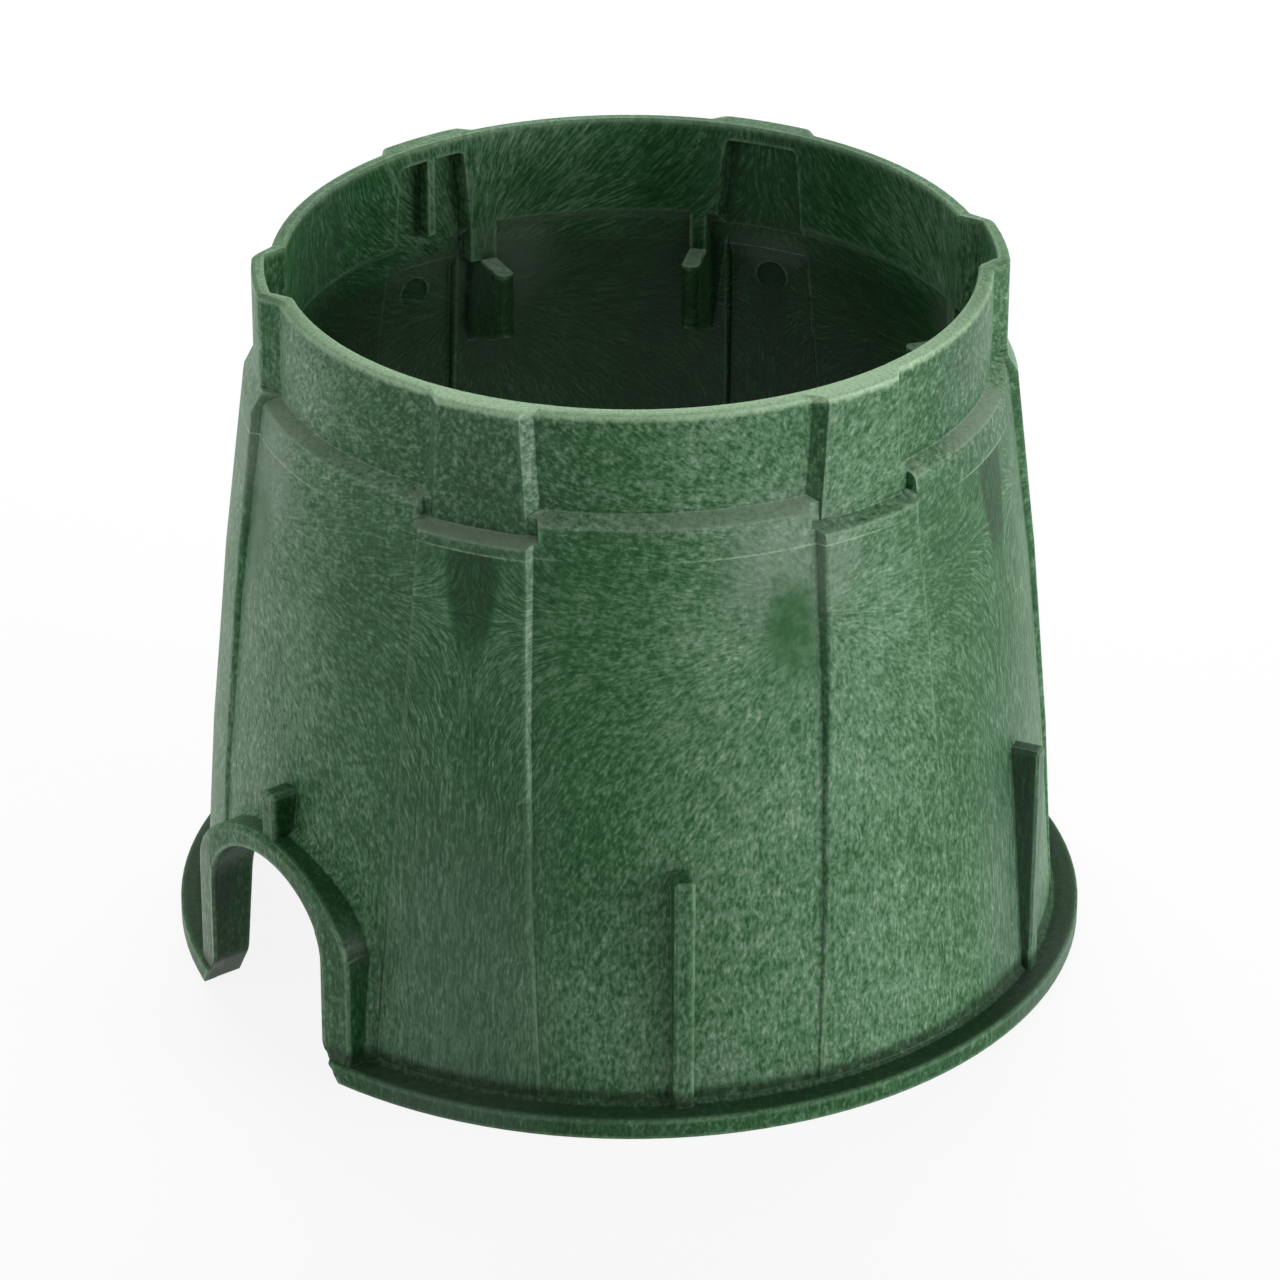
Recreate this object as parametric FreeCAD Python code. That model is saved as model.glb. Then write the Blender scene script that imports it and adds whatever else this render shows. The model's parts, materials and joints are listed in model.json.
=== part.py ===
import FreeCAD, Part
import os
from math import hypot, pi

Vec = FreeCAD.Vector
ORIGIN = Vec(0, 0, 0)
UP = Vec(0, 0, 1)
TOUCH = 0.05
EASE = 1.0 - 0.5 ** 0.5

# Overall sizes, in millimetres. The box stands on its base flange and is open at the top and the bottom.
height = 260.0
rim_radius = 127.0
wall_spread = 28.2
wall = 5.5

# Base flange and the plain wall above it, which bows out a little in straight runs up to the shoulder.
flange_width = 10.2
flange_thickness = 8.0
wall_bow = 2.2
wall_runs = 3
shoulder_step = 6.0
collar_depth = 40.0
shoulder_rise = 3.5
inner_shoulder_rise = 5.8

# Rounded and bevelled edges.
rim_round = 2.0
mouth_bevel = 0.7
shoulder_bevel = 1.0
flange_bevel = 1.0
base_bevel = 0.6
flange_corner = 1.6
ledge_round = 1.5

# Raised bands that run down the wall, each under a pad or a lobe on the collar.
band_proud = 3.4
band_foot_proud = 0.4
band_half_top = 20.4
band_half_foot = 30.2
band_lean = 0.4
recess_half_top = 13.2
recess_half_foot = 27.0
recess_lean = 0.25

# Pads: thick places on the collar whose ledge lies lower than the shoulder.
pad_proud = 4.0
pad_half_top = 17.4
pad_half_foot = 20.0
pad_lean = 0.84
pad_ledge_drop = 7.4
pad_ledge_rise = 2.0
pad_gap_half = 20.0
pad_gap_lean = -0.58
pad_gap_floor = 0.8
pocket_cover = 6.5
pocket_depth = 5.9
pocket_round = 1.5
pocket_foot_drop = 0.5
web_thickness = 3.6

# Lobes: two bulges of the collar that are open to the top on the inside.
lobe_proud = 5.8
lobe_half_foot = 23.6
lobe_half_crest = 16.6
lobe_round = 5.0
lobe_bevel = 1.3
lobe_ledge_drop = 3.0
lobe_ledge_rise = 7.6
notch_depth = 6.8
notch_half_mouth = 21.6
notch_half_floor = 15.6
notch_round = 3.0

# Six gusset ribs on the flange.
rib_count = 6
rib_thickness = 7.4
rib_top = 97.5
rib_setback = 6.9
rib_bevel = 1.0

# Pipe arches at both ends of the X axis, each with a lip that stands out to a flat face.
arch_half = 34.5
arch_spring = 46.0
arch_rise = 26.5
arch_flare = 8.6
arch_flare_height = 13.0
arch_flare_round = 9.0
lip_side = 12.0
lip_top = 7.5
lip_setback = 4.9
lip_margin = 0.2
lip_bevel = 1.8
lip_corner = 3.0

# Lid tabs inside: a plate down from the collar with a ledge and a gusset under it.
tab_width = 6.8
tab_ledge_depth = 51.5
tab_reach = 16.5
tab_drop = 25.0
tab_slope = 14.0
tab_nose_round = 3.0
tab_bury = 2.5

# Round moulding marks inside the bands under the pads.
mark_radius = 5.8
mark_depth = 0.45
mark_height = 196.0

# Places around the axis, in degrees from +X. Tabs and hangers are counted from the pad or lobe beside them.
plain_pad_angles = (30.0, 210.0)
webbed_pad_angles = (90.0, 270.0)
lobe_angles = (150.0, 330.0)
arch_angles = (0.0, 180.0)
pad_tab_angle = 11.3
lobe_tab_angle = 12.2
hanger_angle = 7.8

# Sizes that follow from the ones above.
shoulder_height = height - collar_depth
shoulder_slope = shoulder_rise / shoulder_step
collar_foot = shoulder_height + shoulder_rise
shoulder_radius = rim_radius + shoulder_step
foot_radius = rim_radius + wall_spread
flange_radius = foot_radius + flange_width
mouth_radius = rim_radius - wall
core_radius = mouth_radius - wall
inner_shoulder = collar_foot - inner_shoulder_rise
pad_angles = plain_pad_angles + webbed_pad_angles
pad_radius = rim_radius + pad_proud
pad_ledge_edge = shoulder_height - pad_ledge_drop
pad_ledge = pad_ledge_edge + pad_ledge_rise
pocket_radius = mouth_radius + pocket_depth
pocket_top = height - pocket_cover
pocket_foot = pad_ledge - pocket_foot_drop
lobe_radius = rim_radius + lobe_proud
lobe_ledge_edge = shoulder_height - lobe_ledge_drop
lobe_ledge = lobe_ledge_edge + lobe_ledge_rise
notch_radius = mouth_radius + notch_depth
rib_radius = flange_radius - rib_setback
lip_face = flange_radius - lip_setback
lip_half = arch_half + lip_side
lip_crown = arch_spring + arch_rise + lip_top
tab_ledge = height - tab_ledge_depth
tab_nose = mouth_radius - tab_reach
tab_foot = tab_ledge - tab_drop


def up_wall(z):
    """Share of the way from the flange to the shoulder at a height."""
    return (z - flange_thickness) / (shoulder_height - flange_thickness)


def bowed_radius(up):
    """Outside radius of the bowed wall at a share of the way up."""
    straight = foot_radius + (shoulder_radius - foot_radius) * up
    return straight + 4.0 * wall_bow * up * (1.0 - up)


def wall_radius(z):
    """Outside radius of the plain wall at a height, on the straight run that passes there."""
    runs_up = up_wall(z) * wall_runs
    run = min(max(int(runs_up), 0), wall_runs - 1)
    low, high = bowed_radius(run / wall_runs), bowed_radius((run + 1) / wall_runs)
    return low + (high - low) * (runs_up - run)


def band_radius(z):
    """Outside radius of a raised band, which sinks into the wall towards the base."""
    return wall_radius(z) + band_foot_proud + (band_proud - band_foot_proud) * up_wall(z)


def runs(radius_at, z_low, z_high, offset=0.0):
    """Corners (radius, height) of the wall's straight runs between two heights."""
    run_height = (shoulder_height - flange_thickness) / wall_runs
    breaks = [flange_thickness + run_height * place for place in range(1, wall_runs)]
    heights = [z_low] + [z for z in breaks if z_low < z < z_high] + [z_high]
    return [(radius_at(z) + offset, z) for z in heights]


def radial_face(*corners):
    """Face in the XZ plane from corners (radius, height)."""
    points = [Vec(radius, 0, z) for radius, z in corners]
    return Part.Face(Part.makePolygon(points + points[:1]))


def eased(radius, z, size):
    """Three corners (radius, height) that ease an outer top corner like a rounding."""
    trim = size * EASE
    return [(radius, z - size), (radius - trim, z - trim), (radius - size, z)]


def turned(*corners):
    """Full turn of a radial face about the axis."""
    return radial_face(*corners).revolve(ORIGIN, UP, 360)


def plate(thickness, *corners):
    """Flat plate in the XZ plane, of equal thickness on both sides of it."""
    face = radial_face(*corners)
    face.translate(Vec(0, -thickness / 2.0, 0))
    return face.extrude(Vec(0, thickness, 0))


def placed(shape, angle):
    """Copy of a shape made along +X, turned about the axis."""
    copy = shape.copy()
    copy.rotate(ORIGIN, UP, angle)
    return copy


def middle(edge):
    """Middle point of an edge."""
    return edge.valueAt((edge.FirstParameter + edge.LastParameter) / 2.0)


def reach(point):
    """Distance of a point from the axis."""
    return hypot(point.x, point.y)


def rounded(solid, size, chosen):
    """Round every edge whose middle point is chosen."""
    return solid.makeFillet(size, [edge for edge in solid.Edges if chosen(middle(edge))])


def bevelled(solid, size, chosen):
    """Bevel every edge whose middle point is chosen."""
    return solid.makeChamfer(size, [edge for edge in solid.Edges if chosen(middle(edge))])


def near(value, target):
    """Whether two sizes are the same within the touching tolerance."""
    return abs(value - target) < TOUCH


def at_circle(radius, z):
    """Choice of the edges that lie on one circle about the axis."""
    return lambda point: near(reach(point), radius) and near(point.z, z)


def strip(low, high, lean, inward, outward, past=0.0):
    """Upright strip along +X through two sections (height, radius, half width), run past both of them.

    Its sides lean together outwards.
    """
    def section(z):
        share = (z - low[0]) / (high[0] - low[0])
        radius = low[1] + (high[1] - low[1]) * share
        half = low[2] + (high[2] - low[2]) * share
        inner, outer = half + inward * lean, half - outward * lean
        corners = [
            Vec(radius - inward, -inner, z),
            Vec(radius + outward, -outer, z),
            Vec(radius + outward, outer, z),
            Vec(radius - inward, inner, z),
        ]
        return Part.makePolygon(corners + corners[:1])

    return Part.makeLoft([section(low[0] - past), section(high[0] + past)], True, True)


def bulge(radius, half_front, base_radius, half_base, z_low, z_high, corner):
    """Upright prism along +X with a curved front, leaning sides and rounded front corners."""
    front = (radius ** 2 - half_front ** 2) ** 0.5
    base = (base_radius ** 2 - half_base ** 2) ** 0.5
    half_back = half_base + (half_base - half_front) / (front - base) * (base - core_radius)
    right, left = Vec(front, -half_front, z_low), Vec(front, half_front, z_low)
    back_right, back_left = Vec(core_radius, -half_back, z_low), Vec(core_radius, half_back, z_low)
    outline = [
        Part.makeLine(back_right, right),
        Part.Arc(right, Vec(radius, 0, z_low), left).toShape(),
        Part.makeLine(left, back_left),
        Part.makeLine(back_left, back_right),
    ]
    prism = Part.Face(Part.Wire(outline)).extrude(Vec(0, 0, z_high - z_low))
    return rounded(prism, corner, lambda p: near(reach(p), radius) and z_low < p.z < z_high and p.y)


def plain_wall():
    """Round wall, shoulder and collar as a full block, before it is hollowed out."""
    return turned(
        (0, 0),
        *runs(wall_radius, 0, shoulder_height - shoulder_bevel),
        (shoulder_radius - shoulder_bevel, shoulder_height + shoulder_bevel * shoulder_slope),
        (rim_radius, collar_foot),
        *eased(rim_radius, height, rim_round),
        (0, height),
    )


def flange():
    """Base flange as a ring, with a bevelled corner up to the wall."""
    corner_top = flange_thickness + flange_corner
    return turned(
        (core_radius, 0),
        (flange_radius - base_bevel, 0),
        (flange_radius, base_bevel),
        (flange_radius, flange_thickness - flange_bevel),
        (flange_radius - flange_bevel, flange_thickness),
        (foot_radius + flange_corner, flange_thickness),
        (core_radius, corner_top + foot_radius - core_radius),
    )


def band(ledge_edge, ledge, ledge_radius):
    """Raised band along +X, up to a ledge that runs in to a given radius."""
    crest = turned(
        (core_radius, flange_thickness / 2.0),
        *runs(band_radius, flange_thickness / 2.0, ledge_edge),
        (ledge_radius, ledge),
        (core_radius, ledge),
    )
    foot = (flange_thickness, foot_radius, band_half_foot)
    top = (shoulder_height, shoulder_radius, band_half_top)
    sides = strip(foot, top, band_lean, 2.0 * wall, 2.0 * wall, collar_depth)
    return rounded(crest.common(sides), ledge_round, at_circle(band_radius(ledge_edge), ledge_edge))


def pad():
    """Thick place on the collar along +X, rounded at the rim."""
    low = pad_ledge_edge - wall
    block = turned(
        (core_radius, low),
        (pad_radius, low),
        *eased(pad_radius, height, rim_round),
        (core_radius, height),
    )
    foot, top = (low, rim_radius, pad_half_foot), (height, rim_radius, pad_half_top)
    return block.common(strip(foot, top, pad_lean, 2.0 * wall, 2.0 * wall))


def pad_gap():
    """Space over a pad's ledge, where the shoulder is cut back to the pad."""
    floor = pad_radius - pad_gap_floor
    slope = pad_ledge_rise / (band_radius(pad_ledge_edge) - pad_radius)
    outside = flange_radius
    ring = turned(
        (floor, pad_ledge + slope * pad_gap_floor),
        (outside, pad_ledge - slope * (outside - pad_radius)),
        (outside, collar_foot),
        (floor, collar_foot),
    )
    foot, top = (0, rim_radius, pad_gap_half), (height, rim_radius, pad_gap_half)
    return ring.common(strip(foot, top, pad_gap_lean, wall, outside - rim_radius))


def lobe():
    """Bulge of the collar along +X, rounded at the rim."""
    solid = bulge(lobe_radius, lobe_half_crest, rim_radius, lobe_half_foot, lobe_ledge_edge, height,
                  lobe_round)
    return bevelled(solid, lobe_bevel, lambda p: near(p.z, height) and p.x > rim_radius)


def rib():
    """Gusset rib on the flange along +X."""
    buried = wall_radius(rib_top) - wall / 2.0
    solid = plate(
        rib_thickness,
        (buried, flange_thickness / 2.0),
        (rib_radius, flange_thickness / 2.0),
        (rib_radius, rib_top),
        (buried, rib_top),
    )
    return bevelled(solid, rib_bevel, lambda p: p.x > buried + TOUCH and p.z > flange_thickness and (
        near(p.x, rib_radius) or near(p.z, rib_top)))


def arch_face(x, half, rise, foot_half, foot_height):
    """Upright face across the X axis: legs on a foot that may flare, under half an ellipse."""
    spring = Vec(x, 0, arch_spring)
    oval = Part.Ellipse(Vec(x, half, arch_spring), Vec(x, 0, arch_spring + rise), spring)
    corners = [Vec(x, -half, arch_spring)]
    if foot_half > half:
        corners.append(Vec(x, -half, foot_height))
    corners.append(Vec(x, -foot_half, 0))
    mirrored = [Vec(p.x, -p.y, p.z) for p in reversed(corners)]
    path = corners + mirrored
    legs = [Part.makeLine(start, stop) for start, stop in zip(path, path[1:])]
    return Part.Face(Part.Wire([Part.ArcOfEllipse(oval, 0, pi).toShape()] + legs))


def lip():
    """Lip round a pipe arch on +X, with a flat front that stays inside the flange."""
    start = mouth_radius
    outline = arch_face(start, lip_half, arch_rise + lip_top, lip_half, 0)
    block = outline.extrude(Vec(lip_face - start, 0, 0))
    block = bevelled(block, lip_bevel, lambda p: near(p.x, lip_face) and p.z > flange_thickness)
    return block.common(Part.makeCylinder(flange_radius - flange_bevel - lip_margin, height))


def lipped_wall():
    """Plain wall with a lip round each pipe arch, blended into it."""
    solid = plain_wall().fuse([placed(lip(), angle) for angle in arch_angles])

    def on_blend(point):
        beside_lip = abs(point.y) < lip_half + TOUCH and TOUCH < point.z < lip_crown + TOUCH
        return beside_lip and near(reach(point), wall_radius(point.z))

    return bevelled(solid, lip_corner, on_blend)


def arch_tunnel():
    """Space of both pipe arches, right through the box along X, with flared feet."""
    width = 2.0 * flange_radius + wall
    face = arch_face(-width / 2.0, arch_half, arch_rise, arch_half + arch_flare, arch_flare_height)
    tunnel = face.extrude(Vec(width, 0, 0))
    return rounded(tunnel, arch_flare_round, lambda p: near(p.z, arch_flare_height) and near(p.x, 0))


def chamber():
    """Space inside the plain wall and collar, with the mouth's edge bevelled."""
    return turned(
        (0, -wall),
        *runs(wall_radius, -wall, inner_shoulder, -wall),
        (mouth_radius, collar_foot),
        (mouth_radius, height - mouth_bevel),
        (mouth_radius + mouth_bevel + wall, height + wall),
        (0, height + wall),
    )


def recess(recess_top, *over):
    """Hollow behind a band along +X, closed at the top by the corners given."""
    ring = turned((core_radius, -wall), *runs(band_radius, -wall, recess_top, -wall), *over)
    foot = (-wall, foot_radius - wall, recess_half_foot)
    top = (height, mouth_radius, recess_half_top)
    return ring.common(strip(foot, top, recess_lean, 4.0 * wall, 2.0 * wall))


def pad_recess(webbed):
    """Hollow behind a pad and its band, split by an upright web on some pads."""
    space = recess(pad_ledge - 2.0 * wall, (pocket_radius, pocket_foot), (pocket_radius, pocket_top),
                   (core_radius, pocket_top))
    space = rounded(space, pocket_round, lambda p: near(p.z, pocket_top) and abs(p.y) > wall)
    if webbed:
        web = Part.makeBox(height, web_thickness, height, Vec(0, -web_thickness / 2.0, collar_foot))
        space = space.cut(web)
    return space


def lobe_recess():
    """Hollow behind a lobe, open to the top, and behind the band under it."""
    notch = bulge(notch_radius, notch_half_floor, mouth_radius, notch_half_mouth, inner_shoulder,
                  height + wall, notch_round)
    ceiling = (notch_radius - wall / 2.0, collar_foot)
    return [notch, recess(lobe_ledge_edge - wall, ceiling, (core_radius, collar_foot))]


def mark():
    """Shallow round mark inside a band along +X."""
    deep = band_radius(mark_height) - wall + mark_depth
    return Part.makeCylinder(mark_radius, deep, Vec(0, 0, mark_height), Vec(1, 0, 0))


def buried_radius(z):
    """Radius a little inside the material of the plain wall at a height."""
    return wall_radius(z) - wall + tab_bury


def tab():
    """Lid tab along +X: a plate from the collar, a ledge and a gusset with a rounded nose."""
    slope_foot = tab_foot - tab_slope
    tab_top = collar_foot + tab_bury
    solid = plate(
        tab_width,
        (tab_nose, tab_top),
        (tab_nose, tab_foot),
        (buried_radius(slope_foot), slope_foot),
        (buried_radius(inner_shoulder), inner_shoulder),
        (mouth_radius + tab_bury, tab_top),
    )
    solid = rounded(solid, tab_nose_round, lambda p: near(p.x, tab_nose) and tab_foot < p.z < tab_top)
    return solid.cut(Part.makeCylinder(mouth_radius, height, Vec(0, 0, tab_ledge)))


def hanger():
    """Strip of the collar that hangs down from a webbed pad's pocket to the tab beside it."""
    top = collar_foot + tab_bury
    face = radial_face(
        (mouth_radius, tab_ledge),
        (buried_radius(tab_ledge), tab_ledge),
        (buried_radius(inner_shoulder), inner_shoulder),
        (mouth_radius + tab_bury, top),
        (mouth_radius, top),
    )
    return placed(face.revolve(ORIGIN, UP, pad_tab_angle - hanger_angle), -pad_tab_angle)


def tab_angles():
    """Angle of every lid tab: one beside each pad, one on both sides of each lobe."""
    angles = [angle + pad_tab_angle for angle in plain_pad_angles]
    angles += [angle - pad_tab_angle for angle in webbed_pad_angles]
    for angle in lobe_angles:
        angles += [angle - lobe_tab_angle, angle + lobe_tab_angle]
    return angles


def build():
    """Whole valve box body as one solid."""
    pad_band = band(pad_ledge_edge, pad_ledge, pad_radius)
    lobe_band = band(lobe_ledge_edge, lobe_ledge, lobe_radius)
    raised = [flange()]
    raised += [placed(pad_band, angle) for angle in pad_angles]
    raised += [placed(lobe_band, angle) for angle in lobe_angles]
    raised += [placed(lobe(), angle) for angle in lobe_angles]
    raised += [placed(rib(), 360.0 / rib_count * place) for place in range(rib_count)]
    body = lipped_wall().fuse(raised)
    body = body.cut([placed(pad_gap(), angle) for angle in pad_angles])
    body = body.fuse([placed(pad(), angle) for angle in pad_angles])
    hollow = [chamber(), arch_tunnel()]
    hollow += [placed(pad_recess(angle in webbed_pad_angles), angle) for angle in pad_angles]
    for angle in lobe_angles:
        hollow += [placed(space, angle) for space in lobe_recess()]
    hollow += [placed(mark(), angle) for angle in pad_angles]
    body = body.cut(hollow)
    inside = [placed(tab(), angle) for angle in tab_angles()]
    inside += [placed(hanger(), angle) for angle in webbed_pad_angles]
    return body.fuse(inside).removeSplitter()


os.makedirs("parts", exist_ok=True)
valve_box_body = build().Solids[0]
valve_box_body.exportStep("parts/valve_box_body.step")
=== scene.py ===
"""Looks of a round irrigation valve box body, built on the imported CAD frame.

The box is one moulding of streaky green plastic, open at the top and the bottom. Its CAD mesh is
copied, merged, recut along the raised bands and given rounded edges. Its finish follows the flow of
the plastic in the mould.
"""

from __future__ import annotations

import json
import logging
import math
from collections.abc import Iterable
from dataclasses import dataclass, field
from enum import Enum
from functools import reduce
from typing import NamedTuple

import bmesh
import bpy
from mathutils import Matrix, Vector
from mathutils.bvhtree import BVHTree
from mathutils.geometry import intersect_point_line

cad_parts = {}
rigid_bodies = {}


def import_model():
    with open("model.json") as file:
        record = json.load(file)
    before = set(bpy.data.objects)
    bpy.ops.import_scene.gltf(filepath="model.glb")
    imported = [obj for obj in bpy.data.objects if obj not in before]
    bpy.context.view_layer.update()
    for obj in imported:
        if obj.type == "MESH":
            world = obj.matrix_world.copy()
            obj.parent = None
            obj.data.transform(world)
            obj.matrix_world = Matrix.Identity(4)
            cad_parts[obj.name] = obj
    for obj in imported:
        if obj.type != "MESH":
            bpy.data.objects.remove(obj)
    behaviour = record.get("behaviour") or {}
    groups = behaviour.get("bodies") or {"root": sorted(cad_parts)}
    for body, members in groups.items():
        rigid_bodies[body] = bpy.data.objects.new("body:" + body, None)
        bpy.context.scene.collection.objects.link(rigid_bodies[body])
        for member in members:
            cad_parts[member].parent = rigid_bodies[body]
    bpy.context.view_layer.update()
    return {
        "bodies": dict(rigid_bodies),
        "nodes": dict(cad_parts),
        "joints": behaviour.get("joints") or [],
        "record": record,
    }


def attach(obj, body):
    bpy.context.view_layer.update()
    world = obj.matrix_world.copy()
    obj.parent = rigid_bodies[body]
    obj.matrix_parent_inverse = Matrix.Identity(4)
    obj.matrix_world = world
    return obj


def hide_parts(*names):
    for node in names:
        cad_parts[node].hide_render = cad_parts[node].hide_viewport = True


LOG = logging.getLogger("valve_box")

Socket = bpy.types.NodeSocket
Number = float | Socket
Colour = tuple[float, float, float]

MILLIMETRES = 1000.0  # to a metre
LEVEL = 90.0  # lean of a level streak, in degrees
TINY = 1e-6  # keeps a division by a length from failing


class Ray(Enum):
    """Kinds of ray that a Light Path node tells apart."""

    CAMERA = "Is Camera Ray"
    GLOSSY = "Is Glossy Ray"
    TRANSMISSION = "Is Transmission Ray"


class Step(NamedTuple):
    """A smooth step: where it starts and ends, and the results there."""

    low: float
    high: float
    to_low: float = 0.0
    to_high: float = 1.0


class Grain(NamedTuple):
    """A noise: cells to a unit of length, octaves, and strength of each finer octave."""

    scale: float
    detail: float
    roughness: float


class NodeSheet:
    """Adds nodes to one node tree and links them."""

    def __init__(self, tree: bpy.types.NodeTree) -> None:
        """Empties the tree.

        Args:
            tree: The node tree of a material or of the world.
        """
        self.tree = tree
        tree.nodes.clear()

    def add(self, kind: str, **settings: object) -> bpy.types.Node:
        """Adds one node.

        Args:
            kind: Blender's name of the node type.
            settings: Properties of the node.

        Returns:
            The new node.
        """
        node = self.tree.nodes.new(kind)
        for name, value in settings.items():
            setattr(node, name, value)
        return node

    def feed(self, socket: Socket, value: object) -> None:
        """Links a socket to an input, or sets the input's own value.

        Args:
            socket: The input.
            value: A socket to link from, or a plain value.
        """
        if isinstance(value, Socket):
            self.tree.links.new(value, socket)
        else:
            socket.default_value = value

    def math(self, operation: str, a: Number, b: Number = 0.0, c: Number = 0.0) -> Socket:
        """Adds a Math node.

        Args:
            operation: Blender's name of the operation.
            a: First operand.
            b: Second operand.
            c: Third operand.

        Returns:
            The result.
        """
        node = self.add("ShaderNodeMath", operation=operation)
        for socket, value in zip(node.inputs, (a, b, c)):
            self.feed(socket, value)
        return node.outputs[0]

    def total(self, *terms: Number) -> Socket:
        """Adds up several numbers."""
        return reduce(lambda a, b: self.math("ADD", a, b), terms)

    def product(self, *factors: Number) -> Socket:
        """Multiplies several numbers."""
        return reduce(lambda a, b: self.math("MULTIPLY", a, b), factors)

    def vector(self, operation: str, a: Socket, b: object = None, scale: Number | None = None) -> Socket:
        """Adds a Vector Math node.

        Args:
            operation: Blender's name of the operation.
            a: First vector.
            b: Second vector.
            scale: Factor of the SCALE operation.

        Returns:
            The result: a number for a length or a dot product, and a vector otherwise.
        """
        node = self.add("ShaderNodeVectorMath", operation=operation)
        self.feed(node.inputs[0], a)
        if b is not None:
            self.feed(node.inputs[1], b)
        if scale is not None:
            self.feed(node.inputs["Scale"], scale)
        return node.outputs["Value" if operation in ("LENGTH", "DOT_PRODUCT") else "Vector"]

    def ease(self, value: Socket, step: Step) -> Socket:
        """Maps a number with a smooth step.

        Args:
            value: The number.
            step: The step.

        Returns:
            The eased number.
        """
        node = self.add("ShaderNodeMapRange", interpolation_type="SMOOTHSTEP")
        self.feed(node.inputs["Value"], value)
        for name, item in zip(("From Min", "From Max", "To Min", "To Max"), step):
            node.inputs[name].default_value = item
        return node.outputs["Result"]

    def noise(self, vector: Socket, grain: Grain) -> Socket:
        """Adds a Noise Texture.

        Args:
            vector: Where it is read.
            grain: Its cells and octaves.

        Returns:
            Its value, around one half.
        """
        node = self.add("ShaderNodeTexNoise")
        self.feed(node.inputs["Vector"], vector)
        for name, value in zip(("Scale", "Detail", "Roughness"), grain):
            node.inputs[name].default_value = value
        return node.outputs[0]

    def centred(self, noise: Socket, gain: float) -> Socket:
        """Turns a noise around one half into one around 0, and strengthens it."""
        return self.math("MULTIPLY_ADD", noise, gain, -gain / 2.0)

    def scaled(self, vector: Socket, factors: tuple[float, float, float]) -> Socket:
        """Stretches a vector by a factor for each axis."""
        return self.vector("MULTIPLY", vector, factors)

    def blend(self, share: Number, a: object, b: object) -> Socket:
        """Mixes two colours.

        Args:
            share: Share of the second colour.
            a: First colour.
            b: Second colour.

        Returns:
            The mixed colour.
        """
        node = self.add("ShaderNodeMix", data_type="RGBA", clamp_factor=True)
        self.feed(node.inputs[0], share)
        for socket, colour in ((node.inputs[6], a), (node.inputs[7], b)):
            self.feed(socket, colour if isinstance(colour, Socket) else (*colour, 1.0))
        return node.outputs[2]

    def split(self, vector: Socket) -> tuple[Socket, Socket, Socket]:
        """Takes a vector apart.

        Args:
            vector: The vector.

        Returns:
            Its three parts.
        """
        node = self.add("ShaderNodeSeparateXYZ")
        self.feed(node.inputs[0], vector)
        return node.outputs[0], node.outputs[1], node.outputs[2]

    def seen(self, *rays: Ray) -> Socket:
        """Gives 1 for rays of some kinds, and 0 for others."""
        path = self.add("ShaderNodeLightPath")
        return reduce(lambda a, b: self.math("MAXIMUM", a, b), (path.outputs[ray.value] for ray in rays))


@dataclass(frozen=True)
class Spot:
    """A point of the moulding as sockets: where it is, in millimetres, and how far its face looks up, out and round."""

    place: Socket
    outward: Socket
    along: Socket
    height: Socket
    radius: Socket
    upward: Socket
    turned: Socket
    lee: Socket

    @classmethod
    def read(cls, sheet: NodeSheet) -> Spot:
        """Reads the point from the object's own coordinates.

        Args:
            sheet: The material's nodes.

        Returns:
            The point.
        """
        coordinates = sheet.add("ShaderNodeTexCoord")
        place = sheet.vector("SCALE", coordinates.outputs["Object"], scale=MILLIMETRES)
        flat = sheet.scaled(place, (1.0, 1.0, 0.0))
        radius = sheet.vector("LENGTH", flat)
        outward = sheet.vector("NORMALIZE", flat)
        along = sheet.vector("CROSS_PRODUCT", outward, (0.0, 0.0, -1.0))
        normal = coordinates.outputs["Normal"]
        turned = sheet.vector("DOT_PRODUCT", normal, outward)
        lee = sheet.vector("DOT_PRODUCT", normal, along)
        return cls(place, outward, along, sheet.split(place)[2], radius, sheet.split(normal)[2], turned, lee)

    def facing(self, sheet: NodeSheet, angle: float) -> Socket:
        """Gives the cosine of the angle about the axis between the point and an angle in degrees."""
        turn = math.radians(angle)
        return sheet.vector("DOT_PRODUCT", self.outward, (math.cos(turn), math.sin(turn), 0.0))


@dataclass(frozen=True)
class Lean:
    """One way for streaks to lean: coordinates untwisted by it, and how well the flow agrees with it."""

    turn: float
    place: Socket
    weight: Socket


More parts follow.
